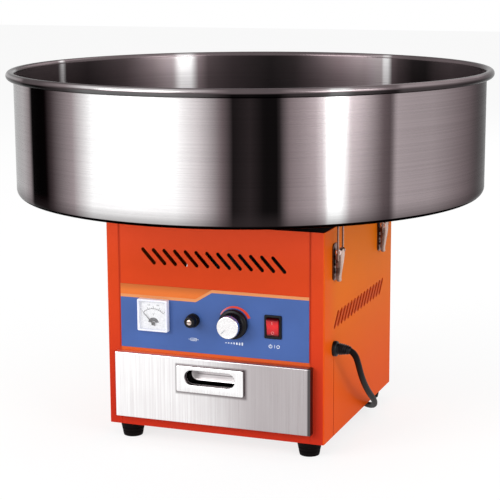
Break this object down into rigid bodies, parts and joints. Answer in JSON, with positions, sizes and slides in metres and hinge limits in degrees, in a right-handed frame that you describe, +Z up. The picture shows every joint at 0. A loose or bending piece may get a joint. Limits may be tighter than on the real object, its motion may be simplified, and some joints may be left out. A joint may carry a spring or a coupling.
{
  "type": "electric cotton candy machine",
  "caption": "Table-top electric cotton candy machine: square steel cabinet with a drawer and controls, round deep floss bowl held by draw latches, and a spinning heated head.",
  "frame": {"origin": "on the table under the spinning head's axis, at the middle of the bowl's outline", "axes": "+Z up along the head's axis, -Y towards the operator and the drawer, +X to the operator's right"},
  "size_m": [0.5199, 0.52, 0.388],
  "materials": {
    "cabinet_paint": "orange-red powder coat, satin",
    "fascia": "blue printed facing, satin",
    "black_rubber": "matte black rubber",
    "steel_fasteners": "plated steel",
    "bowl_steel": "polished stainless steel",
    "latch_steel": "bright plated steel",
    "motor_paint": "dark grey enamel",
    "rotor_steel": "turned steel",
    "insulator": "brown moulded insulator",
    "brass": "turned brass",
    "carbon": "pressed carbon",
    "head_aluminium": "cast and spun aluminium",
    "heater": "ceramic posts with resistance wire",
    "drawer_steel": "brushed stainless steel",
    "meter_white": "white moulded plastic",
    "meter_dial": "printed dial",
    "clear_window": "clear window",
    "needle": "black painted pointer",
    "black_plastic": "black moulded plastic",
    "knob_silver": "bright spun cap",
    "rocker_red": "translucent red plastic",
    "fuse_glass": "glass tube with metal ends",
    "cord_black": "black cord sheath"
  },
  "bodies": {
    "cabinet": {"base_pan": "cabinet_paint", "left_side_panel": "cabinet_paint", "right_side_panel": "cabinet_paint", "rear_panel": "cabinet_paint", "front_panel": "cabinet_paint", "top_plate": "cabinet_paint", "control_fascia": "fascia", "rubber_feet": "black_rubber", "bowl_pads": "black_rubber", "motor_mounts": "black_rubber", "panel_screws": "steel_fasteners", "foot_screws": "steel_fasteners", "latch_rivets": "steel_fasteners", "motor_bracket": "steel_fasteners", "bowl_keepers": "steel_fasteners", "bowl": "bowl_steel", "latch_bases": "latch_steel", "motor_housing": "motor_paint", "brush_holder": "insulator", "plug_pins": "brass", "carbon_brushes": "carbon", "drawer_runners": "drawer_steel", "voltmeter_case": "meter_white", "voltmeter_dial": "meter_dial", "voltmeter_window": "clear_window", "fuse_holder": "black_plastic", "heat_control": "black_plastic", "switch_housing": "black_plastic", "cord_gland": "black_plastic", "power_cord": "cord_black", "cord_coil": "cord_black", "plug_body": "cord_black"},
    "spinner": {"motor_rotor": "rotor_steel", "slip_ring_disc": "insulator", "slip_rings": "brass", "head_floor": "head_aluminium", "head_screen": "head_aluminium", "heating_element": "heater", "head_cover": "head_aluminium", "sugar_cup": "head_aluminium", "head_nut": "steel_fasteners", "head_studs": "steel_fasteners"},
    "drawer": {"drawer_front": "drawer_steel", "drawer_tray": "drawer_steel", "drawer_handle_plate": "drawer_steel", "drawer_finger_cup": "drawer_steel"},
    "knob": {"knob_body": "black_plastic", "knob_cap": "knob_silver"},
    "switch_rocker": {"rocker": "rocker_red"},
    "fuse_carrier": {"fuse_cap": "black_plastic", "fuse_cartridge": "fuse_glass"},
    "needle": {"meter_needle": "needle"},
    "lever_left_front": {"latch_lever_left_front": "latch_steel"},
    "loop_left_front": {"latch_loop_left_front": "latch_steel"},
    "lever_left_rear": {"latch_lever_left_rear": "latch_steel"},
    "loop_left_rear": {"latch_loop_left_rear": "latch_steel"},
    "lever_right_front": {"latch_lever_right_front": "latch_steel"},
    "loop_right_front": {"latch_loop_right_front": "latch_steel"},
    "lever_right_rear": {"latch_lever_right_rear": "latch_steel"},
    "loop_right_rear": {"latch_loop_right_rear": "latch_steel"}
  },
  "joints": [
    {"name": "head_spin", "type": "hinge", "parent": "cabinet", "child": "spinner", "pos_m": [0, 0, 0.28], "axis": [0, 0, 1], "continuous": true},
    {"name": "drawer_slide", "type": "slide", "parent": "cabinet", "child": "drawer", "axis": [0, -1, 0], "range_m": [0, 0.16]},
    {"name": "knob_turn", "type": "hinge", "parent": "cabinet", "child": "knob", "pos_m": [0.0283, -0.1355, 0.136], "axis": [0, 1, 0], "range_deg": [0, 270]},
    {"name": "rocker_tilt", "type": "hinge", "parent": "cabinet", "child": "switch_rocker", "pos_m": [0.071, -0.125, 0.136], "axis": [-1, 0, 0], "range_deg": [0, 18]},
    {"name": "fuse_cap_turn", "type": "hinge", "parent": "cabinet", "child": "fuse_carrier", "pos_m": [-0.0168, -0.135, 0.136], "axis": [0, -1, 0], "range_deg": [0, 90]},
    {"name": "needle_swing", "type": "hinge", "parent": "cabinet", "child": "needle", "pos_m": [-0.061, -0.129, 0.1295], "axis": [0, 1, 0], "range_deg": [0, 90], "stiffness_Nm_per_rad": 0.002},
    {"name": "latch_left_front_open", "type": "hinge", "parent": "cabinet", "child": "lever_left_front", "pos_m": [-0.121, -0.091, 0.212], "axis": [0, 1, 0], "range_deg": [0, 120]},
    {"name": "latch_left_front_loop", "type": "hinge", "parent": "lever_left_front", "child": "loop_left_front", "pos_m": [-0.121, -0.091, 0.204], "axis": [0, 1, 0], "range_deg": [-180, 0]},
    {"name": "latch_left_rear_open", "type": "hinge", "parent": "cabinet", "child": "lever_left_rear", "pos_m": [-0.121, 0.074, 0.212], "axis": [0, 1, 0], "range_deg": [0, 120]},
    {"name": "latch_left_rear_loop", "type": "hinge", "parent": "lever_left_rear", "child": "loop_left_rear", "pos_m": [-0.121, 0.074, 0.204], "axis": [0, 1, 0], "range_deg": [-180, 0]},
    {"name": "latch_right_front_open", "type": "hinge", "parent": "cabinet", "child": "lever_right_front", "pos_m": [0.131, -0.091, 0.212], "axis": [0, -1, 0], "range_deg": [0, 120]},
    {"name": "latch_right_front_loop", "type": "hinge", "parent": "lever_right_front", "child": "loop_right_front", "pos_m": [0.131, -0.091, 0.204], "axis": [0, -1, 0], "range_deg": [-180, 0]},
    {"name": "latch_right_rear_open", "type": "hinge", "parent": "cabinet", "child": "lever_right_rear", "pos_m": [0.131, 0.074, 0.212], "axis": [0, -1, 0], "range_deg": [0, 120]},
    {"name": "latch_right_rear_loop", "type": "hinge", "parent": "lever_right_rear", "child": "loop_right_rear", "pos_m": [0.131, 0.074, 0.204], "axis": [0, -1, 0], "range_deg": [-180, 0]}
  ],
  "couplings": [
    {"joint": "latch_left_front_loop", "follows": "latch_left_front_open", "ratio": -1.5},
    {"joint": "latch_left_rear_loop", "follows": "latch_left_rear_open", "ratio": -1.5},
    {"joint": "latch_right_front_loop", "follows": "latch_right_front_open", "ratio": -1.5},
    {"joint": "latch_right_rear_loop", "follows": "latch_right_rear_open", "ratio": -1.5}
  ]
}
